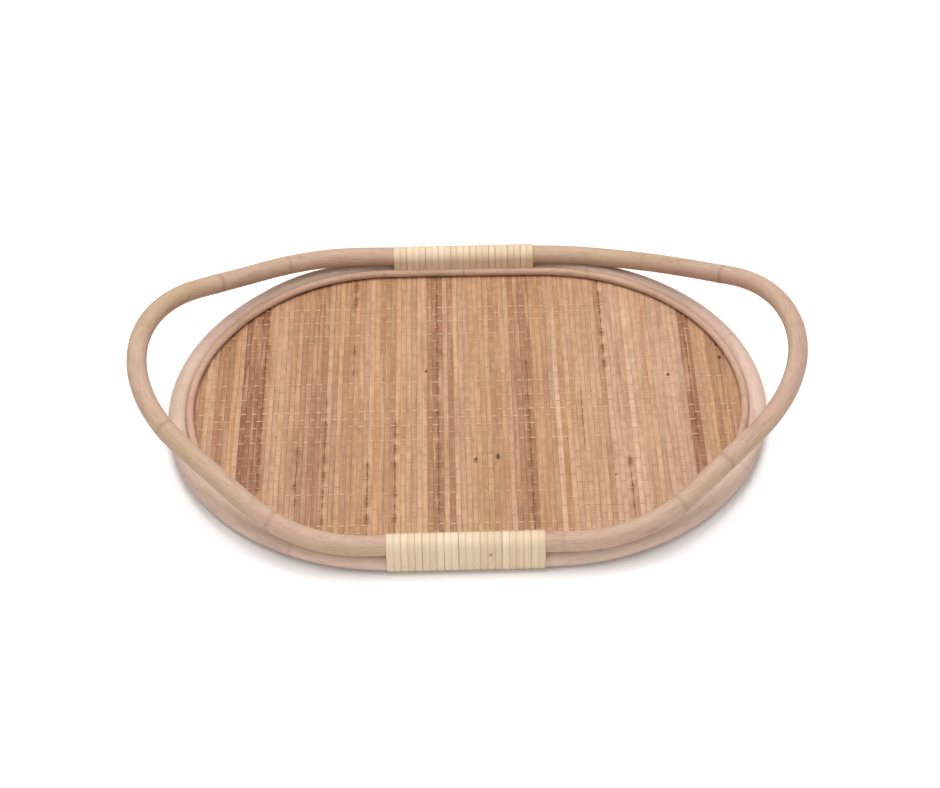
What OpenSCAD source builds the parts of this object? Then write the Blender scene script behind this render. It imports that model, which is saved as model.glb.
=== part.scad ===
// Oval rattan serving tray. A bent rim hoop holds a plywood base with a woven mat on it,
// and a second, longer hoop is lashed on top of the rim and rises at both ends as handles.
// The tray stands on its two lashings. The origin is under the middle of the base, on the
// surface that the tray stands on. X runs from handle to handle, Z is up. Sizes are in mm.

/* [Canes] */
// Diameter of the rim and handle canes
cane_d = 16; // [14:0.5:18]
// Height of the natural rings, called nodes, on the handle cane
node_ring = 0.2; // [0.1:0.05:0.4]
// Diameter of the thin bead cane, made in two halves, that covers the edge of the mat
bead_d = 6.5; // [5:0.5:7.5]

/* [Rim hoop] */
// Width of the rim hoop across its centreline
rim_w = 354; // [320:2:380]
// Length of the rim's two straight sides
rim_straight = 124; // [116:2:140]

/* [Handle hoop] */
// Length of the straight run that lies on each side of the rim
seat_len = 160; // [150:2:180]
// Bend radius where the hoop leaves the rim
corner_r = 133; // [120:1:145]
// Angle between the handle's sloping arms and the length of the tray
arm_angle = 39; // [36:1:42]
// Slope of the handles
rise = 20.5; // [16:0.5:24]
// Bend radius around the handle's tip
tip_r = 126; // [115:1:135]

/* [Base board] */
// Thickness of the plywood base
board_t = 5; // [3:0.5:5]
// Height of the mat's surface above the middle of the rim cane
mat_above_rim = 2; // [0:0.5:3]

/* [Woven mat] */
// Thickness of the splints that run from front to back
splint_t = 0.8; // [0.5:0.1:1]
// Width of a splint
splint_w = 4.1; // [3.5:0.1:4.3]
// Distance from one splint to the next
splint_pitch = 4.4; // [4.4:0.1:5.5]
// Thickness of the strands that cross the splints
weft_t = 0.5; // [0.3:0.1:0.6]
// Width of a crossing strand
weft_w = 1.4; // [1:0.1:2]
// Distance from one crossing strand to the next
weft_pitch = 8.8; // [7.2:0.4:10]

/* [Lashings] */
// Length of each lashing along the canes
lashing_len = 122; // [110:1:123]
// How far the front lashing sits to the left of the middle
front_shift = 4; // [0:0.5:5]
// Number of turns of peel in a lashing
turns = 22; // [18:1:24]
// Thickness of the peel
peel_t = 1.2; // [0.8:0.1:1.5]
// Depth of the groove between two turns
groove = 0.4; // [0.2:0.1:0.5]

/* [Fasteners] */
// Diameter of the headless brads and scarf pins
brad_d = 1.2; // [1:0.1:1.6]
// Diameter of the nails that hold the two hoops together
nail_d = 1.8; // [1.6:0.1:2.2]
// Number of brads through the bead in each curved end
bead_brad_count = 6; // [4:1:8]
// Number of brads through the rim in each curved end
rim_brad_count = 7; // [5:1:8]

/* [Hidden] */
$fn = 64;

cane_colour = [0.80, 0.66, 0.52];
bead_colour = [0.74, 0.58, 0.44];
ply_colour = [0.78, 0.64, 0.45];
splint_colour = [0.76, 0.56, 0.38];
weft_colour = [0.85, 0.72, 0.55];
peel_colour = [0.90, 0.82, 0.64];
steel_colour = [0.55, 0.54, 0.52];

// Clearance around fasteners, and between pieces that only touch
gap = 0.05;
// Clearance between the base's edge and the canes
board_gap = 0.1;

cane_r = cane_d / 2;
bead_r = bead_d / 2;
half_w = rim_w / 2;
half_straight = rim_straight / 2;

rim_z = peel_t + cane_r;
// The handle hoop lies on the rim, on its own nodes.
hoop_z = rim_z + cane_d + node_ring;
mat_z = rim_z + mat_above_rim;
splint_z = mat_z - weft_t - splint_t;
board_z = splint_z - board_t;

// The bead lies on the mat and against the rim.
bead_z = mat_z + bead_r;
bead_inset = gap + sqrt(pow(cane_r + bead_r, 2) - pow(bead_z - rim_z, 2));
// The mat ends under the bead.
mat_inset = bead_inset - 1;

// The hoop bends inwards and upwards at once, in a plane tilted about the straight run.
arm_dir = [cos(arm_angle) * cos(rise), -sin(arm_angle), cos(arm_angle) * sin(rise)];
bend = acos(arm_dir[0]);
bend_tilt = atan2(arm_dir[2], arm_dir[1]);
bend_depth = corner_r * (1 - cos(bend));
arm_start = [
    seat_len / 2 + corner_r * sin(bend),
    half_w + bend_depth * cos(bend_tilt),
    hoop_z + bend_depth * sin(bend_tilt)
];
arm_len = (arm_start[1] - tip_r * cos(arm_angle)) / sin(arm_angle);
tip_start = arm_start + arm_len * arm_dir;
tip_centre = [
    tip_start[0] - tip_r * sin(arm_angle) * cos(rise),
    0,
    tip_start[2] - tip_r * sin(arm_angle) * sin(rise)
];

// Each hoop is one cane whose ends meet in a long slanting scarf, hidden by a lashing.
scarf_len = 50;
glue_line = 0.15;
scarf_pin_x = 10;
scarf_pin_len = 12;

nail_len = 24;
nail_x = [-76, -40, 40, 76];
rim_brad_len = 24;
rim_brad_x = [-30, 30];
bead_brad_len = 9;
bead_brad_x = [-45, -8, 8, 45];
brad_set = 0.3;

tack_head_d = 2.6;
tack_head_t = 0.4;
tack_len = 10;
tack_x = 15;
tack_drop = 4;

// Half the rim's width at distance x from the middle, along its centreline
function rim_y(x) = sqrt(pow(half_w, 2) - pow(max(0, abs(x) - half_straight), 2));

module bent_cane(bend_r, angle, r) {
    rotate_extrude(angle = angle) translate([bend_r, 0]) circle(r);
}

// The left half (side -1) or right half (side 1) of an oval cane, inset from the rim's
// centreline. Its two straight ends stop at distance short from the middle.
module half_oval_cane(side, inset, z, r, short) {
    translate([side * half_straight, 0, z])
        rotate([0, 0, -90 * side])
            bent_cane(half_w - inset, 180, r);
    for (back = [-1, 1])
        translate([side * short, back * (half_w - inset), z])
            rotate([0, 90 * side, 0])
                cylinder(h = half_straight - short, r = r);
}

// The plan of a flat piece that fits inside the rim, inset from the rim's centreline
module oval_plan(inset) {
    square([rim_straight, 2 * (half_w - inset)], center = true);
    for (side = [-1, 1])
        translate([side * half_straight, 0]) circle(half_w - inset, $fn = 180);
}

// The outline around the two stacked canes, at distance r from their centrelines
module stacked_outline(r) {
    for (z = [rim_z, hoop_z])
        translate([0, z]) circle(r);
    translate([-r, rim_z]) square([2 * r, hoop_z - rim_z]);
}

// A slice of the space around the stacked canes, len long, centred on x
module around_canes(side, x, len, r) {
    translate([x - len / 2, side * half_w, 0])
        rotate([90, 0, 90])
            linear_extrude(len) stacked_outline(r);
}

// Where the middle of each lashing lies: -1 is the front one, 1 the rear one
function lashing_x(side) = side < 0 ? -front_shift : 0;

// The room that both lashings take up, with clearance
module lashing_room() {
    for (side = [-1, 1])
        around_canes(side, lashing_x(side), lashing_len + 2 * gap, cane_r + peel_t + gap);
}

module scarf_cut(side, z) {
    translate([0, side * half_w, z])
        rotate([0, 0, atan2(cane_d, scarf_len)])
            cube([2 * scarf_len, glue_line, 2 * cane_d], center = true);
}

// A ring on the cane, where one bend or straight run of the hoop passes into the next
module cane_node() {
    sphere(cane_r + node_ring);
}

// Stands its children's Z axis along the handle's sloping arm, at a point on the arm
module along_arm(place) {
    translate(place)
        rotate([0, -rise, 0])
            rotate([0, 0, -arm_angle])
                rotate([0, 90, 0])
                    children();
}

// One handle: two corner bends, two sloping arms and the round tip
module handle_end() {
    for (back = [0, 1])
        mirror([0, back, 0]) {
            translate([seat_len / 2, half_w, hoop_z]) {
                rotate([0, 90, 0])
                    cane_node();
                rotate([bend_tilt, 0, 0])
                    translate([0, corner_r, 0])
                        rotate([0, 0, -90])
                            bent_cane(corner_r, bend, cane_r);
            }
            along_arm(arm_start) {
                cane_node();
                cylinder(h = arm_len, r = cane_r);
            }
            along_arm(tip_start)
                cane_node();
        }
    translate(tip_centre)
        rotate([0, -rise, 0])
            rotate([0, 0, arm_angle - 90])
                bent_cane(tip_r, 180 - 2 * arm_angle, cane_r);
}

// Fasteners. Each module takes the extra radius, so that it also cuts its own holes.

module nail_set(extra) {
    for (side = [-1, 1], x = nail_x)
        translate([x, side * rim_y(x), rim_z - cane_r + brad_set])
            cylinder(h = nail_len, d = nail_d + 2 * extra);
}

module rim_brad(extra) {
    translate([0, 0, board_z + board_t / 2])
        rotate([0, -90, 0])
            cylinder(h = rim_brad_len, d = brad_d + 2 * extra);
}

module rim_brad_set(extra) {
    reach = half_w + cane_r - 2 * brad_set;
    for (side = [-1, 1]) {
        for (x = rim_brad_x)
            translate([x, side * reach, 0]) rotate([0, 0, 90 * side]) rim_brad(extra);
        for (i = [1:rim_brad_count])
            translate([side * half_straight, 0, 0])
                rotate([0, 0, 90 * (1 - side) - 90 + 180 * i / (rim_brad_count + 1)])
                    translate([reach, 0, 0])
                        rim_brad(extra);
    }
}

module bead_brad(extra) {
    translate([0, 0, bead_z + bead_r - brad_set - bead_brad_len])
        cylinder(h = bead_brad_len, d = brad_d + 2 * extra);
}

module bead_brad_set(extra) {
    reach = half_w - bead_inset;
    for (side = [-1, 1]) {
        for (x = bead_brad_x)
            translate([x, side * reach, 0]) bead_brad(extra);
        for (i = [0:bead_brad_count - 1])
            translate([side * half_straight, 0, 0])
                rotate([0, 0, 90 * (1 - side) - 90 + 180 * (i + 0.5) / bead_brad_count])
                    translate([reach, 0, 0])
                        bead_brad(extra);
    }
}

module scarf_pin_pair(side, z, extra) {
    for (x = [-scarf_pin_x, scarf_pin_x])
        translate([x, side * half_w, z])
            rotate([90, 0, 0])
                cylinder(h = scarf_pin_len, d = brad_d + 2 * extra, center = true);
}

module tack_shank_set(extra) {
    for (side = [-1, 1])
        translate([tack_x, side * (half_w + cane_r + peel_t), hoop_z - tack_drop])
            rotate([90 * side, 0, 0])
                cylinder(h = tack_len, d = brad_d + 2 * extra);
}

// Sub-parts

module rim_hoop() {
    color(cane_colour)
        difference() {
            for (side = [-1, 1])
                half_oval_cane(side, 0, rim_z, cane_r, 0);
            scarf_cut(1, rim_z);
            scarf_pin_pair(1, rim_z, gap);
            nail_set(gap);
            rim_brad_set(gap);
        }
}

module handle_hoop() {
    color(cane_colour)
        difference() {
            union() {
                for (end = [0, 1])
                    mirror([end, 0, 0]) handle_end();
                for (side = [-1, 1])
                    translate([-seat_len / 2, side * half_w, hoop_z])
                        rotate([0, 90, 0])
                            cylinder(h = seat_len, r = cane_r);
            }
            scarf_cut(-1, hoop_z);
            scarf_pin_pair(-1, hoop_z, gap);
            nail_set(gap);
            tack_shank_set(gap);
        }
}

module base_board() {
    color(ply_colour)
        difference() {
            translate([0, 0, board_z])
                linear_extrude(board_t) oval_plan(cane_r + board_gap);
            lashing_room();
            rim_brad_set(gap);
            bead_brad_set(gap);
        }
}

module mat_splints() {
    count = floor((half_straight + half_w - mat_inset) / splint_pitch);
    color(splint_colour)
        difference() {
            intersection() {
                translate([0, 0, splint_z])
                    linear_extrude(splint_t) oval_plan(mat_inset);
                for (i = [-count:count])
                    translate([i * splint_pitch - splint_w / 2, -half_w, splint_z])
                        cube([splint_w, 2 * half_w, splint_t]);
            }
            bead_brad_set(gap);
        }
}

module mat_wefts() {
    count = floor((half_w - mat_inset - weft_w) / weft_pitch);
    reach = half_straight + half_w;
    color(weft_colour)
        difference() {
            intersection() {
                translate([0, 0, mat_z - weft_t])
                    linear_extrude(weft_t) oval_plan(mat_inset);
                for (i = [-count:count])
                    translate([-reach, i * weft_pitch - weft_w / 2, mat_z - weft_t])
                        cube([2 * reach, weft_w, weft_t]);
            }
            bead_brad_set(gap);
        }
}

module bead_half(side) {
    color(bead_colour)
        difference() {
            half_oval_cane(side, bead_inset, bead_z, bead_r, gap);
            lashing_room();
            bead_brad_set(gap);
        }
}

module mat_bead_left() {
    bead_half(-1);
}

module mat_bead_right() {
    bead_half(1);
}

// One strip of peel wound in close turns around both canes
module lashing(side) {
    x = lashing_x(side);
    pitch = lashing_len / turns;
    color(peel_colour)
        difference() {
            union() {
                around_canes(side, x, lashing_len, cane_r + peel_t - groove);
                for (i = [0:turns - 1])
                    around_canes(side, x + (i - (turns - 1) / 2) * pitch, pitch - groove, cane_r + peel_t);
            }
            around_canes(side, x, lashing_len + 2, cane_r + gap);
            tack_shank_set(gap);
        }
}

module front_lashing() {
    lashing(-1);
}

module rear_lashing() {
    lashing(1);
}

module lashing_tacks() {
    color(steel_colour) {
        tack_shank_set(0);
        for (side = [-1, 1])
            translate([tack_x, side * (half_w + cane_r + peel_t), hoop_z - tack_drop])
                rotate([-90 * side, 0, 0])
                    cylinder(h = tack_head_t, d = tack_head_d);
    }
}

module hoop_nails() {
    color(steel_colour) nail_set(0);
}

module rim_brads() {
    color(steel_colour) rim_brad_set(0);
}

module bead_brads() {
    color(steel_colour) bead_brad_set(0);
}

module scarf_pins() {
    color(steel_colour) {
        scarf_pin_pair(1, rim_z, 0);
        scarf_pin_pair(-1, hoop_z, 0);
    }
}

rim_hoop();
handle_hoop();
base_board();
mat_splints();
mat_wefts();
mat_bead_left();
mat_bead_right();
front_lashing();
rear_lashing();
lashing_tacks();
hoop_nails();
rim_brads();
bead_brads();
scarf_pins();
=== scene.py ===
"""Looks of the oval rattan serving tray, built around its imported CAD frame. Metres, +Z up."""

import math
import random

import bpy
import numpy as np
from mathutils import Matrix, Vector, noise


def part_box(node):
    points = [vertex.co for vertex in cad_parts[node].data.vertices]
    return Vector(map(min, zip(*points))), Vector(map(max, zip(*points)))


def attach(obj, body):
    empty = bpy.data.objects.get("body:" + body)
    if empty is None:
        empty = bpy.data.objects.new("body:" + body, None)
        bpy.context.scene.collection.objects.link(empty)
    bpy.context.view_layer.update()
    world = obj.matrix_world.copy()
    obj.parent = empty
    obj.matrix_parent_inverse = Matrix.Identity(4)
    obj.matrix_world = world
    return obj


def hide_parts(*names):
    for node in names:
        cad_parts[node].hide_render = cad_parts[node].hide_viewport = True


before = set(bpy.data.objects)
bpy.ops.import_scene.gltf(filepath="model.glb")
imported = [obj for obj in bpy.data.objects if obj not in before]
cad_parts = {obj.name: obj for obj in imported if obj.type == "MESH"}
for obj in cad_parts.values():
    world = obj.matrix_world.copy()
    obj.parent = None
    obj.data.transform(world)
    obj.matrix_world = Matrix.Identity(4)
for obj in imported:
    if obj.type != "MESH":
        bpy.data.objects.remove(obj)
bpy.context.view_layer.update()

MM = 0.001

# ---------------------------------------------------------------- sizes, from the frame and the design

rim_low, rim_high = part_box("rim_hoop")
bead_low, bead_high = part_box("mat_bead_right")
board_low, board_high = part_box("base_board")
hoop_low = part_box("handle_hoop")[0]
front_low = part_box("front_lashing")[0]
splint_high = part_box("mat_splints")[1]
weft_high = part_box("mat_wefts")[1]

CANE_R = (rim_high.z - rim_low.z) / 2
RIM_Z = rim_low.z + CANE_R
HALF_W = rim_high.y - CANE_R
HALF_STRAIGHT = rim_high.x - CANE_R - HALF_W
HOOP_Z = hoop_low.z + CANE_R
BEAD_R = (bead_high.z - bead_low.z) / 2
BEAD_Z = bead_low.z + BEAD_R
BEAD_INSET = HALF_W - (bead_high.y - BEAD_R)
# The right half of the bead starts here, so that no gap shows between the halves
JOINT_GAP = 0.04 * MM
BEAD_JOINT = bead_low.x - JOINT_GAP
PEEL_T = RIM_Z - CANE_R - front_low.z

# The handle hoop's bends, as in the CAD model
SEAT_LEN = 160 * MM
CORNER_R = 133 * MM
TIP_R = 126 * MM
ARM_ANGLE = math.radians(39)
RISE = math.radians(20.5)

# The camera, as found from the outlines in the photograph
CAMERA_ELEVATION = math.radians(42.0)
CAMERA_TURN = math.radians(0.33)
CAMERA_ROLL = math.radians(1.08)
CAMERA_DISTANCE = 1.903
CAMERA_AIM = (0.0022, 0.0141)
CAMERA_LENS = 87.7
STAND_HEIGHT = 1.2 * MM


# ---------------------------------------------------------------- colours and node helpers

def rgb(colour):
    """A colour given as 0 to 255 display values, as a linear array to reckon with."""
    return np.array(srgb(*colour)[:3])


def srgb(r, g, b):
    """A colour given as 0 to 255 display values, as linear RGBA."""
    def linear(c):
        c /= 255
        return c / 12.92 if c <= 0.04045 else ((c + 0.055) / 1.055) ** 2.4
    return (linear(r), linear(g), linear(b), 1.0)


class Shader:
    """A material's node tree, with one short call for each node."""

    def __init__(self, name, specular=0.5):
        self.material = bpy.data.materials.new(name)
        self.material.use_nodes = True
        self.tree = self.material.node_tree
        self.surface = self.tree.nodes["Principled BSDF"]
        self.surface.inputs["Specular IOR Level"].default_value = specular

    def add(self, kind, inputs=None, **settings):
        made = self.tree.nodes.new("ShaderNode" + kind)
        for key, value in settings.items():
            setattr(made, key, value)
        for key, value in (inputs or {}).items():
            self.put(made.inputs[key], value)
        return made

    def put(self, socket, value):
        if isinstance(value, bpy.types.NodeSocket):
            self.tree.links.new(value, socket)
        else:
            socket.default_value = value

    def attribute(self, name):
        return self.add("Attribute", attribute_name=name)

    def scaled(self, vector, scale):
        return self.add("Mapping", {"Vector": vector, "Scale": scale}).outputs["Vector"]

    def noise(self, vector, scale, detail=3.0, roughness=0.5, distortion=0.0):
        found = self.add("TexNoise", {
            "Vector": self.scaled(vector, scale), "Scale": 1.0, "Detail": detail,
            "Roughness": roughness, "Distortion": distortion})
        return found.outputs["Fac"]

    def ramp(self, factor, stops):
        made = self.add("ValToRGB", {"Fac": factor})
        elements = made.color_ramp.elements
        while len(elements) < len(stops):
            elements.new(0.5)
        for element, (place, colour) in zip(elements, stops):
            element.position = place
            element.color = colour
        return made.outputs["Color"]

    def spread(self, factor, low, high, to_low=0.0, to_high=1.0):
        made = self.add("MapRange", {
            "Value": factor, "From Min": low, "From Max": high,
            "To Min": to_low, "To Max": to_high})
        return made.outputs["Result"]

    def maths(self, operation, a, b):
        made = self.add("Math", {0: a, 1: b}, operation=operation)
        return made.outputs["Value"]

    def mix(self, factor, a, b):
        made = self.add("Mix", data_type="RGBA", blend_type="MIX")
        colours = [s for s in made.inputs if s.type == "RGBA"]
        self.put(made.inputs["Factor"], factor)
        self.put(colours[0], a)
        self.put(colours[1], b)
        return [s for s in made.outputs if s.type == "RGBA"][0]

    def stained(self, colour, factor, low, high, most, stain):
        """The colour, mixed with a stain that grows to its most as the factor goes from low to high."""
        return self.mix(self.spread(factor, low, high, 0.0, most), colour, stain)

    def bump(self, height, distance, strength):
        inputs = {"Height": height, "Distance": distance, "Strength": strength}
        return self.add("Bump", inputs).outputs["Normal"]

    def finish(self, colour, roughness, normal):
        self.put(self.surface.inputs["Base Color"], colour)
        self.put(self.surface.inputs["Roughness"], roughness)
        self.put(self.surface.inputs["Normal"], normal)
        return self.material


# ---------------------------------------------------------------- materials

def cane_material(name, pale, warm, pink, dark):
    """Sanded rattan pole. "grain" runs along the cane, then across it; "ring" is 1 at a knot."""
    s = Shader(name, specular=0.3)
    grain = s.attribute("grain").outputs["Vector"]
    patches = s.noise(grain, (11, 60, 60), detail=2.0)
    colour = s.ramp(patches, [(0.34, warm), (0.5, pale), (0.66, pink)])
    fibres = s.noise(grain, (70, 1500, 1500), detail=3.0, roughness=0.6)
    colour = s.stained(colour, fibres, 0.52, 0.78, 0.55, dark)
    pores = s.noise(grain, (260, 2600, 2600), detail=1.0)
    pits = s.spread(pores, 0.66, 0.76)
    colour = s.mix(s.maths("MULTIPLY", pits, 0.55), colour, dark)
    smudges = s.noise(grain, (26, 90, 90), detail=4.0, roughness=0.65)
    colour = s.stained(colour, smudges, 0.56, 0.8, 0.5, dark)
    ring = s.attribute("ring").outputs["Fac"]
    colour = s.mix(s.maths("MULTIPLY", ring, 0.5), colour, dark)
    relief = s.maths("SUBTRACT", fibres, pits)
    return s.finish(colour, s.spread(fibres, 0.3, 0.75, 0.5, 0.72), s.bump(relief, 0.22 * MM, 0.6))


def peel_material():
    """Smooth skin of the rattan, pale straw, with a lengthwise grain."""
    s = Shader("rattan_peel", specular=0.3)
    grain = s.attribute("grain").outputs["Vector"]
    tint = s.attribute("tint").outputs["Color"]
    streaks = s.noise(grain, (45, 2200, 400), detail=3.0, roughness=0.6)
    colour = s.stained(tint, streaks, 0.5, 0.8, 0.4, srgb(176, 140, 98))
    bands = s.noise(grain, (9, 620, 400), detail=1.0)
    colour = s.stained(colour, bands, 0.48, 0.66, 0.5, srgb(198, 172, 134))
    blotches = s.noise(grain, (38, 160, 60), detail=3.0)
    colour = s.stained(colour, blotches, 0.58, 0.76, 0.35, srgb(196, 172, 136))
    return s.finish(colour, s.spread(streaks, 0.3, 0.8, 0.5, 0.66), s.bump(streaks, 0.12 * MM, 0.5))


def splint_material():
    """Split rattan in mixed browns: each splint has its own tint, which carries painted shade beside the open
    gaps; fine fibres and stains.
    """
    s = Shader("rattan_splint", specular=0.4)
    grain = s.attribute("grain").outputs["Vector"]
    tint = s.attribute("tint").outputs["Color"]
    drift = s.noise(grain, (14, 230, 230), detail=2.0)
    colour = s.stained(tint, drift, 0.5, 0.72, 0.5, srgb(204, 160, 124))
    colour = s.stained(colour, drift, 0.5, 0.3, 0.55, srgb(152, 102, 68))
    fibres = s.noise(grain, (42, 2400, 2400), detail=3.0, roughness=0.62)
    colour = s.stained(colour, fibres, 0.5, 0.78, 0.6, srgb(128, 82, 54))
    pale = s.noise(grain, (60, 1900, 1900), detail=2.0)
    colour = s.stained(colour, pale, 0.58, 0.78, 0.5, srgb(222, 184, 148))
    blots = s.noise(grain, (90, 420, 420), detail=3.0, roughness=0.6)
    colour = s.stained(colour, blots, 0.66, 0.74, 0.6, srgb(112, 68, 42))
    speck = s.noise(grain, (300, 900, 900), detail=2.0)
    stain = s.maths("ADD", s.attribute("stain").outputs["Fac"], s.maths("MULTIPLY", speck, 0.5))
    colour = s.stained(colour, stain, 0.66, 0.95, 0.92, srgb(70, 36, 14))
    return s.finish(colour, s.spread(fibres, 0.3, 0.8, 0.42, 0.66), s.bump(fibres, 0.16 * MM, 0.6))


def weft_material():
    """Thin light strands that cross the splints."""
    s = Shader("rattan_weft", specular=0.4)
    grain = s.attribute("grain").outputs["Vector"]
    tint = s.attribute("tint").outputs["Color"]
    fibres = s.noise(grain, (60, 3000, 3000), detail=3.0)
    colour = s.stained(tint, fibres, 0.5, 0.78, 0.5, srgb(150, 104, 68))
    tone = s.noise(grain, (30, 300, 300), detail=2.0)
    colour = s.stained(colour, tone, 0.55, 0.75, 0.45, srgb(176, 130, 92))
    return s.finish(colour, s.spread(fibres, 0.3, 0.8, 0.45, 0.65), s.bump(fibres, 0.1 * MM, 0.5))


# Half the thickness of the plywood's middle ply, and how deep its stained top goes
CORE_HALF_T = 0.8 * MM
GLUE_DEPTH = 0.2 * MM


def plywood_material():
    """Bare plywood: long grain on its faces, three plies along its edge, a stained top."""
    s = Shader("plywood", specular=0.3)
    place = s.add("TexCoord").outputs["Object"]
    figure = s.noise(place, (2.2, 26, 60), detail=4.0, roughness=0.55, distortion=0.6)
    browns = [(0.3, srgb(176, 136, 92)), (0.5, srgb(208, 172, 128)), (0.72, srgb(224, 192, 150))]
    colour = s.ramp(figure, browns)
    fibres = s.noise(place, (40, 1400, 1400), detail=3.0)
    colour = s.stained(colour, fibres, 0.5, 0.8, 0.5, srgb(146, 104, 66))
    height = s.add("SeparateXYZ", {"Vector": place}).outputs["Z"]
    middle = (board_low.z + board_high.z) / 2
    off_middle = s.maths("ABSOLUTE", s.maths("SUBTRACT", height, middle), 0.0)
    core = s.spread(off_middle, CORE_HALF_T + 0.1 * MM, CORE_HALF_T)
    colour = s.mix(s.maths("MULTIPLY", core, 0.6), colour, srgb(128, 90, 58))
    glued_top = s.spread(height, board_high.z - GLUE_DEPTH, board_high.z)
    colour = s.mix(glued_top, colour, srgb(152, 98, 60))
    return s.finish(colour, s.spread(fibres, 0.3, 0.8, 0.55, 0.75), s.bump(fibres, 0.15 * MM, 0.6))


def steel_material():
    """Drawn wire with a dull, slightly stained surface."""
    s = Shader("fastener_steel")
    s.surface.inputs["Metallic"].default_value = 1.0
    place = s.add("TexCoord").outputs["Object"]
    drawn = s.noise(place, (900, 900, 200), detail=2.0)
    colour = s.ramp(drawn, [(0.35, srgb(128, 122, 114)), (0.7, srgb(176, 172, 166))])
    stain = s.noise(place, (500, 500, 500), detail=3.0)
    colour = s.stained(colour, stain, 0.6, 0.75, 0.6, srgb(110, 78, 52))
    return s.finish(colour, s.spread(drawn, 0.3, 0.7, 0.3, 0.5), s.bump(drawn, 0.05 * MM, 0.5))


def floor_material():
    """A plain pale studio floor with a very faint tone."""
    s = Shader("studio_floor", specular=0.1)
    place = s.add("TexCoord").outputs["Object"]
    tone = s.noise(place, (3, 3, 3), detail=2.0)
    colour = s.ramp(tone, [(0.3, srgb(246, 246, 246)), (0.7, srgb(249, 249, 249))])
    return s.finish(colour, s.spread(tone, 0.3, 0.7, 0.85, 0.9), s.bump(tone, 0.1 * MM, 0.1))


# ---------------------------------------------------------------- curves

def rim_path():
    """The closed oval line of the rim, starting at the middle of the rear."""
    arc = np.radians(np.linspace(90, 0, 91))
    quarter = [(x, HALF_W, RIM_Z) for x in np.linspace(0, HALF_STRAIGHT, 32, endpoint=False)]
    quarter += [(HALF_STRAIGHT + HALF_W * math.cos(a), HALF_W * math.sin(a), RIM_Z) for a in arc]
    return mirrored_loop(np.array(quarter))


def hoop_path():
    """The closed line of the handle hoop, starting at the middle of the rear."""
    along, across = np.array((1.0, 0, 0)), np.array((0, 1.0, 0))
    slope = np.array((math.cos(RISE), 0, math.sin(RISE)))
    arm = math.cos(ARM_ANGLE) * slope - math.sin(ARM_ANGLE) * across
    bend = math.acos(arm[0])
    inward = (arm - along * math.cos(bend)) / math.sin(bend)
    seat_end = np.array((SEAT_LEN / 2, HALF_W, HOOP_Z))

    def corner(t):
        return seat_end + CORNER_R * (math.sin(t) * along + (1 - math.cos(t)) * inward)

    arm_start = corner(bend)
    arm_len = (arm_start[1] - TIP_R * math.cos(ARM_ANGLE)) / math.sin(ARM_ANGLE)
    tip_start = arm_start + arm_len * arm
    centre = tip_start - TIP_R * (math.sin(ARM_ANGLE) * slope + math.cos(ARM_ANGLE) * across)
    points = [(x, HALF_W, HOOP_Z) for x in np.linspace(0, SEAT_LEN / 2, 40, endpoint=False)]
    points += [corner(t) for t in np.linspace(0, bend, 50, endpoint=False)]
    points += [arm_start + t * arm for t in np.linspace(0, arm_len, 30, endpoint=False)]
    points += [centre + TIP_R * (math.cos(t) * slope + math.sin(t) * across)
               for t in np.linspace(math.pi / 2 - ARM_ANGLE, 0, 60)]
    return mirrored_loop(np.array(points))


def bead_half_path():
    """The line of the bead's right half, from the rear joint round to the front joint."""
    reach = HALF_W - BEAD_INSET
    arc = np.radians(np.linspace(90, -90, 181))
    ends = np.linspace(BEAD_JOINT, HALF_STRAIGHT, 32, endpoint=False)
    points = [(x, reach, BEAD_Z) for x in ends]
    points += [(HALF_STRAIGHT + reach * math.cos(a), reach * math.sin(a), BEAD_Z) for a in arc]
    points += [(x, -reach, BEAD_Z) for x in ends[::-1]]
    return np.array(points)


def mirrored_loop(quarter):
    """A closed loop from its quarter between the rear's middle and the right tip."""
    right = np.vstack([quarter, quarter[-2::-1] * (1, -1, 1)])
    left = right[1:-1][::-1] * (-1, 1, 1)
    return np.vstack([right, left])


def resampled(points, step, closed):
    """A path's points at an even spacing near step, with their distances along it."""
    if closed:
        points = np.vstack([points, points[:1]])
    travelled = np.concatenate([[0], np.cumsum(np.linalg.norm(np.diff(points, axis=0), axis=1))])
    count = int(round(travelled[-1] / step))
    places = np.linspace(0, travelled[-1], count + (not closed), endpoint=not closed)
    found = np.stack([np.interp(places, travelled, points[:, k]) for k in range(3)], axis=1)
    return found, places, travelled[-1]


# ---------------------------------------------------------------- mesh helpers

def mesh_piece(name, vertices, faces, material, node, vectors=None, colours=None, values=None):
    """A mesh that rides on the tray and stands for the named CAD node; its end caps are flat."""
    mesh = bpy.data.meshes.new(name)
    mesh.from_pydata([tuple(v) for v in vertices], [], [tuple(f) for f in faces])
    mesh.polygons.foreach_set("use_smooth", [len(f) == 4 for f in faces])
    for key, data in (vectors or {}).items():
        mesh.attributes.new(key, "FLOAT_VECTOR", "POINT").data.foreach_set("vector", np.ravel(data))
    for key, data in (colours or {}).items():
        mesh.attributes.new(key, "FLOAT_COLOR", "POINT").data.foreach_set("color", np.ravel(data))
    for key, data in (values or {}).items():
        mesh.attributes.new(key, "FLOAT", "POINT").data.foreach_set("value", np.ravel(data))
    mesh.materials.append(material)
    mesh.update()
    piece = bpy.data.objects.new(name, mesh)
    bpy.context.scene.collection.objects.link(piece)
    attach(piece, "root")
    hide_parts(node)
    return piece


def ring_faces(rings, sides, close_rings):
    """Quads between rings of sides points each, numbered ring by ring."""
    last = rings if close_rings else rings - 1
    for i in range(last):
        a, b = i * sides, ((i + 1) % rings) * sides
        for j in range(sides):
            k = (j + 1) % sides
            yield (a + j, b + j, b + k, a + k)


def end_caps(rings, sides):
    """One face over each open end of the quads that ring_faces makes."""
    last = (rings - 1) * sides
    return [tuple(range(sides)), tuple(reversed(range(last, last + sides)))]


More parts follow.
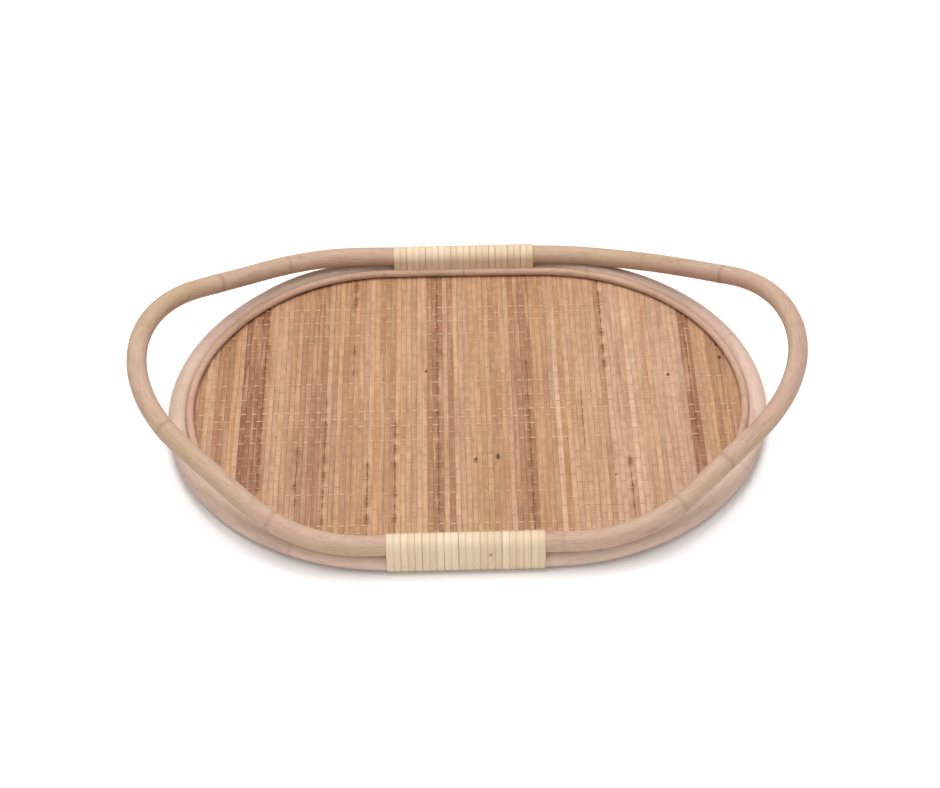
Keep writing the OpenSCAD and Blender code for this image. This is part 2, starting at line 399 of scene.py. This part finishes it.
def path_frames(points, closed):
    """Unit vectors at a path's points: inwards and upwards, both square to the path."""
    if closed:
        tangents = np.roll(points, -1, axis=0) - np.roll(points, 1, axis=0)
    else:
        tangents = np.gradient(points, axis=0)
    tangents /= np.linalg.norm(tangents, axis=1)[:, None]
    inward = np.cross(tangents, (0, 0, 1))
    inward /= np.linalg.norm(inward, axis=1)[:, None]
    return inward, np.cross(inward, tangents)


# A knot: the cane swells before it and narrows after it, and a dark line marks it
SWELLING_BEFORE, SWELLING_REACH = 3.8 * MM, 3.2 * MM
GROOVE_AFTER, GROOVE_REACH, GROOVE_SHARE = 0.6 * MM, 1.3 * MM, 0.45
LINE_REACH = 1.7 * MM
# A cane's slow change of radius as a share of it, and its fine unevenness with that one's length
SLOW_CHANGE = 0.012
CANE_UNEVEN, UNEVEN_LENGTH = 0.1 * MM, 40 * MM
# Distance between a cane's rings
CANE_STEP = 1.6 * MM


def distance_from(at, places, total):
    """Signed distance of each place from one place, the short way round a loop."""
    return (places - at + total / 2) % total - total / 2


def bell(distance, reach):
    """1 at no distance, and fading to nothing at about twice the reach."""
    return np.exp(-(distance / reach) ** 2)


def bent_by_hand(places, total, bends):
    """How far a cane strays outwards and upwards from its ideal line. Each bend is given by
    the distance along the cane, its reach along the cane, and the two offsets."""
    strays = np.zeros((len(places), 2))
    for at, reach, out, rise in bends:
        strays += bell(distance_from(at, places, total), reach)[:, None] * (out, rise)
    return strays


def cane_thickness(places, total, radius, knots, swelling, seed):
    """The radius along a cane and the strength of the dark line at each of its knots."""
    thickness = radius * (1 + SLOW_CHANGE * np.sin(2 * math.pi * (places + seed) / total))
    mark = np.zeros(len(places))
    for at, strength in knots:
        off = distance_from(at, places, total)
        thickness += strength * swelling * bell(off + SWELLING_BEFORE, SWELLING_REACH)
        thickness -= strength * GROOVE_SHARE * swelling * bell(off - GROOVE_AFTER, GROOVE_REACH)
        mark += strength * bell(off, LINE_REACH)
    return thickness, np.minimum(mark, 1.0)


def cane_piece(name, path, closed, radius, material, node, knots, seed,
               sides=36, bends=(), swelling=0.3 * MM):
    """A cane bent along a path, with natural knots, slightly uneven in thickness."""
    points, places, total = resampled(path, CANE_STEP, closed)
    inward, up = path_frames(points, closed)
    strays = bent_by_hand(places, total, bends)
    points = points - inward * strays[:, :1] + up * strays[:, 1:]
    thickness, mark = cane_thickness(places, total, radius, knots, swelling, seed)
    angles = np.linspace(0, 2 * math.pi, sides, endpoint=False)
    vertices, grain, ring = [], [], []
    for i, place in enumerate(places):
        for a in angles:
            spot = Vector(((place + seed) / UNEVEN_LENGTH, math.cos(a), math.sin(a)))
            r = thickness[i] + CANE_UNEVEN * noise.noise(spot)
            vertices.append(points[i] + r * (math.cos(a) * inward[i] + math.sin(a) * up[i]))
            grain.append((place + seed, radius * math.cos(a), radius * math.sin(a)))
            ring.append(mark[i])
    faces = list(ring_faces(len(points), sides, closed))
    if not closed:
        faces += end_caps(len(points), sides)
    return mesh_piece(name, vertices, faces, material, node,
                      vectors={"grain": grain}, values={"ring": ring})


# ---------------------------------------------------------------- the lashings

TURNS = 21
PEEL_WIDTH = 5.4 * MM
# The strip's cross-section: shares of its width and of its thickness
PEEL_PROFILE = [(-0.5, 0.5), (-0.45, 0.88), (-0.22, 0.97), (0.0, 1.0), (0.22, 0.97), (0.45, 0.88),
                (0.5, 0.5), (0.47, 0.0), (-0.47, 0.0)]
# How uneven the strip's height is, with the rings that one rise takes, and the room kept for it
PEEL_UNEVEN, UNEVEN_RINGS = 0.05 * MM, 9
PEEL_ROOM = 0.2 * MM
# How far a round may stand off its place, and the range of its width
ROUND_JITTER = 0.1 * MM
WIDTH_RANGE = (1.0, 1.06)
# Height of the strip's first and last rounds, which lie half hidden under their neighbours
END_ROUND_HEIGHT = 0.85
# The part of each round, under the canes, in which the strip moves on by its width
STEP_FROM, STEP_TO = 0.03, 0.38
# Distance between the strip's rings, and how far its grain differs from round to round
PEEL_STEP = 1.6 * MM
ROUND_GRAIN = 0.37
PALE_PEEL, STRAW_PEEL, GREY_PEEL = (219, 199, 173), (209, 183, 150), (201, 181, 159)
# Points around each cane and along the flank between the two
ARC_POINTS = 26
FLANK_STEP = 2 * MM


def stacked_outline(reach):
    """Points around both stacked canes in (out, z), from the middle of the outer flank downwards."""
    lower = np.radians(np.linspace(0, -180, ARC_POINTS))
    upper = np.radians(np.linspace(180, 0, ARC_POINTS))
    apart = HOOP_Z - RIM_Z
    flank = np.linspace(0, 1, int(apart / FLANK_STEP), endpoint=False)[1:]
    points = [(reach * math.cos(a), RIM_Z + reach * math.sin(a)) for a in lower]
    points += [(-reach, RIM_Z + t * apart) for t in flank]
    points += [(reach * math.cos(a), HOOP_Z + reach * math.sin(a)) for a in upper]
    points += [(reach, HOOP_Z - t * apart) for t in flank]
    return np.array(points)


def eased(t):
    """From 0 to 1 with a smooth start and stop."""
    t = min(1.0, max(0.0, t))
    return t * t * (3 - 2 * t)


def lashing_piece(name, node, side, material, rng):
    """One peel strip wound in close, slightly uneven rounds around both canes."""
    low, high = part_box(node)
    outline = stacked_outline(CANE_R)
    steps = len(outline)
    nearby = np.roll(outline, -1, axis=0) - np.roll(outline, 1, axis=0)
    normals = np.stack([-nearby[:, 1], nearby[:, 0]], axis=1)
    normals /= np.linalg.norm(normals, axis=1)[:, None]
    first, last = low.x + PEEL_WIDTH / 2, high.x - PEEL_WIDTH / 2
    rounds = TURNS + 2
    shifts = [0.0] + [rng.uniform(-ROUND_JITTER, ROUND_JITTER) for _ in range(TURNS)] + [0.0, 0.0]
    widths = [PEEL_WIDTH * rng.uniform(*WIDTH_RANGE) for _ in range(rounds + 1)]
    tones = [peel_tone(rng) for _ in range(rounds + 1)]
    vertices, grain, tint = [], [], []
    total = rounds * steps
    for i in range(total + 1):
        before, place = divmod(i, steps)
        after = min(before + 1, rounds)
        moved = eased((place / steps - STEP_FROM) / (STEP_TO - STEP_FROM))
        shift, width, tone = (
            values[before] * (1 - moved) + values[after] * moved for values in (shifts, widths, tones))
        travel = min(1.0, max(0.0, (before + moved - 1) / TURNS))
        x = first + (last - first) * travel + shift
        hidden = max(0.0, 1 - i / steps, i / steps - rounds + 1)
        rise = 1 - (1 - END_ROUND_HEIGHT) * min(1.0, 3 * hidden)
        out, z = outline[place]
        n = normals[place]
        lift = PEEL_UNEVEN * (1 + noise.noise(Vector((i / UNEVEN_RINGS, side, 2.0))))
        for across, height in PEEL_PROFILE:
            h = ((PEEL_T - PEEL_ROOM) * height + lift * (height > 0)) * rise
            vertices.append((x + across * width, side * (HALF_W + out + n[0] * h), z + n[1] * h))
            grain.append((i * PEEL_STEP + before * ROUND_GRAIN, across * width, before * 0.01))
            tint.append((*tone, 1.0))
    sides = len(PEEL_PROFILE)
    faces = list(ring_faces(total + 1, sides, False)) + end_caps(total + 1, sides)
    if side < 0:
        faces = [tuple(reversed(f)) for f in faces]
    return mesh_piece(name, vertices, faces, material, node,
                      vectors={"grain": grain}, colours={"tint": tint})


def peel_tone(rng):
    """A random tone between pale, straw and greyish peel."""
    pale, straw, grey = rgb(PALE_PEEL), rgb(STRAW_PEEL), rgb(GREY_PEEL)
    a, b = rng.random(), rng.random() * 0.5
    return pale * (1 - a) + (straw * (1 - b) + grey * b) * a


# ---------------------------------------------------------------- the woven mat

SPLINT_PITCH = 4.4 * MM
WEFT_PITCH = 8.8 * MM
SPLINT_T = 0.5 * MM
WEFT_T = 0.34 * MM
# How far the splints wave up and down, and how far the wefts do
SPLINT_WAVE = 0.13 * MM
WEFT_LIFT = 0.24 * MM
MAT_Z = weft_high.z - 0.5 * MM
MAT_INSET = HALF_W - splint_high.y
# Space left between the wefts' ends and the mat's edge
WEFT_END_ROOM = 0.4 * MM
FIRST_WEFT_ROOM = 1.5 * MM

# Cross-sections, as shares of width and thickness; a weft's width is counted from its middle
SPLINT_PROFILE = [(0.0, 0.0), (0.0, 0.8), (0.08, 1.0), (0.92, 1.0), (1.0, 0.8), (1.0, 0.0)]
WEFT_PROFILE = [(-1.0, 0.3), (-0.5, 1.0), (0.5, 1.0), (1.0, 0.3), (0.6, 0.0), (-0.6, 0.0)]
# A weft's height over one splint: share of the pitch, share of the lift
WEFT_BEND = [(-0.5, 0.0), (-0.40, 0.93), (0.0, 1.0), (0.40, 0.93)]

# Share of the wefts that are wide and light, and both kinds' half width and colour
WIDE_WEFTS = 0.35
WIDE_WEFT = (0.6 * MM, (203, 161, 128))
THIN_WEFT = (0.42 * MM, (192, 146, 112))
# How the wefts differ: their width and brightness as shares, and how far their ends stray
WEFT_WIDTH_RANGE = (0.85, 1.15)
WEFT_BRIGHTNESS_RANGE = (0.9, 1.08)
WEFT_END_STRAY = 0.2 * MM
# How far a weft wanders off its straight line, and over what length
WEFT_WANDER, WANDER_LENGTH = 0.25 * MM, 20 * MM

# Least and greatest space that a splint leaves free on each side of its pitch
SPLINT_ROOM = (-0.03 * MM, 0.05 * MM)
# How uneven a splint's edges and its height are, and the edges' change along the splint
EDGE_UNEVEN, EDGE_LENGTH = 0.08 * MM, 12 * MM
HEIGHT_UNEVEN = 0.05 * MM
# How far the grain's start moves from one strip to the next: along it and in depth
SPLINT_GRAIN = (0.71, 0.013)
WEFT_GRAIN = (0.53, 0.017)
# How much a splint's tone changes along it, and over what length
TONE_UNEVEN, TONE_LENGTH = 0.2, 7 * MM

# The browns of the mat, dark to light
TONES = {
    "cocoa": (170, 120, 90), "russet": (183, 136, 103), "chestnut": (191, 146, 111), "amber": (198, 152, 115),
    "honey": (207, 162, 123), "straw": (208, 164, 130), "rose": (211, 169, 141), "blush": (220, 178, 148),
}
# Bands of splints of one brown, from left to right: from, to (mm from the middle), tone
# The dark bands near both ends of the mat are partly painted shade beside the bead, partly the splints' own
# brown
BANDS = [
    (-206, -194, "russet"), (-190, -186, "straw"), (-186, -170, "cocoa"), (-166, -146, "straw"),
    (-146, -130, "chestnut"), (-130, -118, "russet"), (-118, -114, "straw"), (-114, -106, "chestnut"),
    (-106, -102, "honey"), (-102, -94, "chestnut"), (-94, -86, "amber"), (-86, -76, "straw"),
    (-74, -58, "chestnut"), (-58, -50, "honey"), (-50, -34, "straw"), (-34, -22, "russet"),
    (-22, -14, "straw"), (-14, -10, "russet"), (-10, 2, "straw"), (2, 18, "honey"), (18, 34, "amber"),
    (34, 38, "straw"), (38, 54, "russet"), (54, 66, "amber"), (66, 70, "chestnut"), (74, 78, "blush"),
    (82, 114, "straw"), (118, 130, "rose"), (134, 142, "blush"), (142, 158, "straw"), (158, 182, "rose"),
    (182, 190, "cocoa"), (194, 206, "honey"), (206, 212, "chestnut"),
]
SPLINT_TINTS = [(206, 160, 122), (190, 142, 104), (214, 172, 136), (178, 128, 92),
                (208, 164, 134), (200, 158, 116), (186, 144, 108), (206, 156, 112)]
# Share of its band that a splint's own colour takes, and how its brightness varies
BAND_SHARE = 0.88
BRIGHTNESS_RANGE = (0.91, 1.09)
# Red, green and blue of the splints' own colours against the tones above, which are as lit
MAT_TONE = np.array((0.675, 0.657, 0.618))
# The mat's middle tone, and how far the bands above are pulled away from it
MIDDLE_TONE = (200, 155, 121)
BAND_CONTRAST = 1.55
# Where two splints stand apart and a shadow shows: place across the tray, from, to, width (mm)
OPEN_GAPS = [
    (-171, -120, 130, 1.3), (-141, -120, -40, 0.8), (-119, -150, 10, 1.0), (-97.5, 20, 170, 1.0),
    (-84, -165, -60, 1.1), (-62, -165, -20, 1.1), (-27, -165, 165, 0.9), (48, -165, 60, 1.1),
    (92, -60, 20, 0.6), (116, 30, 160, 1.0), (129, -140, -60, 0.8), (186, -60, 100, 1.0),
]
# How much of a gap's width each of its two splints gives
GAP_SHARE = 0.7
# A gap narrows over this length (mm) towards its ends, and frays over this one (m)
GAP_FADE = 12
FRAY_LENGTH = 10 * MM
FRAY_MIDDLE, FRAY_SWING = 0.45, 1.9
# Painted shade: how dark the splints turn beside a gap, standing in for the gap's shadow, and the gap's half
# width where they are darkest
GAP_SHADE = 0.6
WIDE_GAP = 0.5 * MM
# Brown of the painted shade beside the gaps
GAP_SHADE_COLOUR = (112, 66, 40)
# Small dark stains: x, y and radius (mm) on the mat
STAINS = [
    (5, -69, 2.3), (23, -66, 2.2), (48, -96, 1.8), (-66, -104, 1.7), (169, 29, 0.9), (175, 29, 0.9),
    (118, -90, 1.5), (-34, 40, 1.3), (-140, -96, 1.4), (212, 66, 1.8), (214, 49, 1.4), (215, 34, 1.3),
    (-8, 96, 1.0),
]
# A stain is longer along the splints, and fades from a dark core
STAIN_STRETCH = 2.3
STAIN_CORE, STAIN_FADE = 1.6, 1.2


def mat_half_depth(x):
    """Half of the mat's depth at x, within its oval outline."""
    past = max(0.0, abs(x) - HALF_STRAIGHT)
    reach = HALF_W - MAT_INSET
    return math.sqrt(max(0.0, reach ** 2 - past ** 2))


def mat_half_length(y):
    """Half of the mat's length at y, within its oval outline."""
    reach = HALF_W - MAT_INSET
    return HALF_STRAIGHT + math.sqrt(max(0.0, reach ** 2 - y ** 2))


def splint_tint(x, rng):
    """A splint's own colour: a random brown, pulled towards the band that it lies in."""
    colour = rgb(rng.choice(SPLINT_TINTS))
    for start, end, tone in BANDS:
        if start <= x / MM < end:
            middle = rgb(MIDDLE_TONE)
            band = middle + BAND_CONTRAST * (rgb(TONES[tone]) - middle)
            colour = (1 - BAND_SHARE) * colour + BAND_SHARE * band
    return MAT_TONE * colour * rng.uniform(*BRIGHTNESS_RANGE)


def splint_edges(index, rng):
    """Left and right edge of a splint."""
    middle = index * SPLINT_PITCH
    left = middle - SPLINT_PITCH / 2 + rng.uniform(*SPLINT_ROOM)
    right = middle + SPLINT_PITCH / 2 - rng.uniform(*SPLINT_ROOM)
    return left, right


def gap_at(index, y):
    """How much a splint's left and right edge stand back at y, beside the open gaps."""
    left = right = 0.0
    for place, start, end, width in OPEN_GAPS:
        edge = int(math.floor(place * MM / SPLINT_PITCH + 0.5))
        within = min(1.0, max(0.0, min(y / MM - start, end - y / MM) / GAP_FADE))
        fray = FRAY_SWING * noise.noise(Vector((y / FRAY_LENGTH, place, 0.0)))
        back = GAP_SHARE * width * MM * within * min(1.0, max(0.0, FRAY_MIDDLE + fray))
        if index == edge:
            right = back
        if index == edge + 1:
            left = back
    return left, right


def stain_at(x, y):
    """How strongly the mat is stained at a place, from 0 to 1."""
    strength = 0.0
    for sx, sy, radius in STAINS:
        away = math.hypot((x / MM - sx), (y / MM - sy) / STAIN_STRETCH) / radius
        strength = max(strength, min(1.0, STAIN_CORE - STAIN_FADE * away))
    return strength


def edge_unevenness(y, edge):
    """How far a splint's edge strays at y; each edge has its own number."""
    return EDGE_UNEVEN * noise.noise(Vector((y / EDGE_LENGTH, edge * 1.7, 5.0)))


def splints_piece(material, rng):
    """All splints: flat crowned strips from front to rear, each bent over and under the wefts."""
    count = int((mat_half_length(0) - SPLINT_PITCH / 2) / SPLINT_PITCH)
    sides = len(SPLINT_PROFILE)
    gap_shade_colour = rgb(GAP_SHADE_COLOUR)
    vertices, faces, grain, tint, stain = [], [], [], [], []
    for index in range(-count, count + 1):
        left, right = splint_edges(index, rng)
        colour = splint_tint((left + right) / 2, rng)
        reach = mat_half_depth((left + right) / 2)
        steps = max(4, int(round(2 * reach / (WEFT_PITCH / 4))))
        start = len(vertices)
        height = rng.uniform(-HEIGHT_UNEVEN, HEIGHT_UNEVEN)
        for y in np.linspace(-reach, reach, steps + 1):
            wave = SPLINT_WAVE * math.cos(math.pi * (y / WEFT_PITCH + index))
            back_left, back_right = gap_at(index, y)
            low = left + back_left + edge_unevenness(y, index)
            high = right - back_right + edge_unevenness(y, index + 1)
            tone = 1 + TONE_UNEVEN * noise.noise(Vector((y / TONE_LENGTH, index * 2.3, 9.0)))
            for across, lift in SPLINT_PROFILE:
                x = low + across * (high - low)
                # Painted shade: the splint's colour darkens towards an edge where a gap opens
                gap_shade = GAP_SHADE * min(1.0, (across * back_right + (1 - across) * back_left) / WIDE_GAP)
                vertices.append((x, y, MAT_Z + wave + height + SPLINT_T * (lift - 0.5)))
                grain.append((y + index * SPLINT_GRAIN[0], x - left, index * SPLINT_GRAIN[1]))
                tint.append((*(tone * ((1 - gap_shade) * colour + gap_shade * gap_shade_colour)), 1.0))
                stain.append(stain_at(x, y))
        faces += [tuple(start + k for k in f) for f in ring_faces(steps + 1, sides, False)]
        faces += [tuple(start + k for k in f) for f in end_caps(steps + 1, sides)]
    return mesh_piece("woven_splints", vertices, faces, material, "mat_splints",
                      vectors={"grain": grain}, colours={"tint": tint}, values={"stain": stain})


def wefts_piece(material, rng):
    """All crossing strands: each dives between the splints and lies over every other one."""
    reach = HALF_W - MAT_INSET
    count = int((reach - FIRST_WEFT_ROOM) / WEFT_PITCH)
    sides = len(WEFT_PROFILE)
    vertices, faces, grain, tint = [], [], [], []
    for row in range(-count, count + 1):
        half, light = WIDE_WEFT if rng.random() < WIDE_WEFTS else THIN_WEFT
        half *= rng.uniform(*WEFT_WIDTH_RANGE)
        colour = rgb(light) * rng.uniform(*WEFT_BRIGHTNESS_RANGE)
        stray = rng.uniform(-WEFT_END_STRAY, WEFT_END_STRAY)
        length = mat_half_length(row * WEFT_PITCH + stray) - WEFT_END_ROOM
        last = int(length / SPLINT_PITCH)
        start = len(vertices)
        for index in range(-last, last + 1):
            over = -1 if (index + row) % 2 == 0 else 1
            for share, lift in WEFT_BEND:
                x = (index + share) * SPLINT_PITCH
                wander = WEFT_WANDER * noise.noise(Vector((x / WANDER_LENGTH, row * 2.3, 1.0)))
                y = row * WEFT_PITCH + wander
                z = MAT_Z + over * lift * WEFT_LIFT
                for across, up in WEFT_PROFILE:
                    vertices.append((x, y + across * half, z + WEFT_T * (up - 0.5)))
                    grain.append((x + row * WEFT_GRAIN[0], across * half, row * WEFT_GRAIN[1]))
                    tint.append((*colour, 1.0))
        rings = (2 * last + 1) * len(WEFT_BEND)
        faces += [tuple(start + k for k in reversed(f)) for f in ring_faces(rings, sides, False)]
        faces += [tuple(start + k for k in reversed(f)) for f in end_caps(rings, sides)]
    return mesh_piece("woven_wefts", vertices, faces, material, "mat_wefts",
                      vectors={"grain": grain}, colours={"tint": tint})


# ---------------------------------------------------------------- camera, floor and light

# Where the lights point
TRAY_MIDDLE = Vector((0, 0, 0.02))
# Strength of the white light from all around
SURROUNDINGS = 0.55


def make_camera():
    """The photograph's camera: it looks down at the tray's middle, slightly turned and rolled."""
    data = bpy.data.cameras.new("photo_camera")
    data.lens = CAMERA_LENS
    data.clip_end = 50
    camera = bpy.data.objects.new("photo_camera", data)
    bpy.context.scene.collection.objects.link(camera)
    turn = Matrix.Rotation(-CAMERA_TURN, 3, "Z")
    tilt = Matrix.Rotation(math.pi / 2 - CAMERA_ELEVATION, 3, "X")
    roll = Matrix.Rotation(-CAMERA_ROLL, 3, "Z")
    facing = turn @ tilt @ roll
    place = facing @ Vector((*CAMERA_AIM, CAMERA_DISTANCE)) + Vector((0, 0, STAND_HEIGHT))
    camera.matrix_world = Matrix.Translation(place) @ facing.to_4x4()
    bpy.context.scene.camera = camera


def area_light(name, place, size, power):
    """A round softbox that faces the tray."""
    data = bpy.data.lights.new(name, "AREA")
    data.shape = "DISK"
    data.size = size
    data.energy = power
    light = bpy.data.objects.new(name, data)
    light.location = place
    light.rotation_euler = (TRAY_MIDDLE - Vector(place)).to_track_quat("-Z", "Y").to_euler()
    bpy.context.scene.collection.objects.link(light)


def make_floor(size):
    """A pale square floor; it isn't part of the tray."""
    mesh = bpy.data.meshes.new("floor")
    corners = [(-size, -size, 0), (size, -size, 0), (size, size, 0), (-size, size, 0)]
    mesh.from_pydata(corners, [], [(0, 1, 2, 3)])
    mesh.materials.append(floor_material())
    floor = bpy.data.objects.new("floor", mesh)
    bpy.context.scene.collection.objects.link(floor)


def make_studio():
    """White surroundings, a large softbox overhead, a weak one in front, and the floor."""
    world = bpy.data.worlds.new("studio")
    world.use_nodes = True
    background = world.node_tree.nodes["Background"]
    background.inputs["Color"].default_value = (1.0, 1.0, 1.0, 1.0)
    background.inputs["Strength"].default_value = SURROUNDINGS
    bpy.context.scene.world = world
    bpy.context.scene.view_settings.view_transform = "Standard"
    area_light("softbox", place=(-0.1, 0.25, 2.3), size=2.4, power=60)
    area_light("front_fill", place=(0, -1.9, 0.45), size=1.2, power=5)
    make_floor(size=6.0)


# ---------------------------------------------------------------- the tray

# Knots, the natural nodes of the canes: distance from the rear's middle by way of the right, strength.
# For the left half of the bead, the distance starts at the front.
HANDLE_KNOTS = [(0.163, 0.35), (0.2485, 0.8), (0.36, 0.25), (0.5105, 0.8), (0.562, 0.7), (0.66, 0.3),
                (0.889, 0.6), (1.006, 0.75), (1.12, 0.25), (1.229, 0.75), (1.303, 0.6)]
RIM_KNOTS = [(0.11, 0.5), (0.268, 0.4), (0.43, 0.5), (0.62, 0.4), (0.82, 0.5), (0.985, 0.4),
             (1.14, 0.5), (1.27, 0.4)]
BEAD_KNOTS = [(0.11, 0.4), (0.33, 0.5), (0.55, 0.4)]

# Where the canes stray from their ideal lines: distance, reach along it, outwards, upwards
HANDLE_BENDS = [
    (0.140, 0.055, 0.0, -3.6 * MM), (0.290, 0.045, 0.0, 1.6 * MM),
    (1.100, 0.100, -2.0 * MM, 0.0), (1.350, 0.055, 0.0, 1.6 * MM),
]
BEAD_BENDS = {"right": [(0.075, 0.05, -1.2 * MM, 0.0)], "left": [(-0.135, 0.05, 1.2 * MM, 0.4 * MM)]}
RIM_BENDS = [(0.603, 0.015, -1.0 * MM, -0.9 * MM), (-0.135, 0.05, 2.0 * MM, 1.3 * MM)]


def make_canes():
    """The rim, the handle hoop and both halves of the bead."""
    cane = cane_material("rattan_cane", srgb(184, 155, 133), srgb(178, 150, 120),
                         srgb(182, 147, 131), srgb(124, 90, 70))
    rim_cane = cane_material("rattan_rim", srgb(205, 178, 161), srgb(198, 173, 151),
                             srgb(203, 171, 158), srgb(140, 108, 90))
    bead_cane = cane_material("rattan_bead", srgb(188, 154, 132), srgb(182, 150, 120),
                              srgb(188, 148, 130), srgb(126, 90, 70))
    cane_piece("rim_cane", rim_path(), True, CANE_R, rim_cane, "rim_hoop",
               RIM_KNOTS, seed=3, bends=RIM_BENDS)
    cane_piece("handle_cane", hoop_path(), True, CANE_R, cane, "handle_hoop",
               HANDLE_KNOTS, seed=11, bends=HANDLE_BENDS)
    for name, turned in (("right", 1), ("left", -1)):
        half = bead_half_path() * (turned, turned, 1)
        # The grain runs on across the rear joint, where the left half ends and the right begins
        length = np.linalg.norm(np.diff(half, axis=0), axis=1).sum()
        cane_piece("bead_" + name, half, False, BEAD_R, bead_cane, "mat_bead_" + name,
                   BEAD_KNOTS, seed=19 - (turned < 0) * length, sides=20, bends=BEAD_BENDS[name],
                   swelling=0.15 * MM)


def make_tray():
    """All pieces: meshes for what shows its shape in detail, CAD solids for the board and the metal."""
    rng = random.Random(27)
    make_canes()
    peel = peel_material()
    lashing_piece("front_winding", "front_lashing", -1, peel, rng)
    lashing_piece("rear_winding", "rear_lashing", 1, peel, rng)
    splints_piece(splint_material(), rng)
    wefts_piece(weft_material(), rng)
    steel = steel_material()
    plywood = plywood_material()
    for name in ("base_board", "lashing_tacks", "hoop_nails", "rim_brads", "bead_brads", "scarf_pins"):
        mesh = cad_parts[name].data
        mesh.materials.clear()
        mesh.materials.append(plywood if name == "base_board" else steel)


make_camera()
make_studio()
make_tray()

bpy.context.view_layer.update()
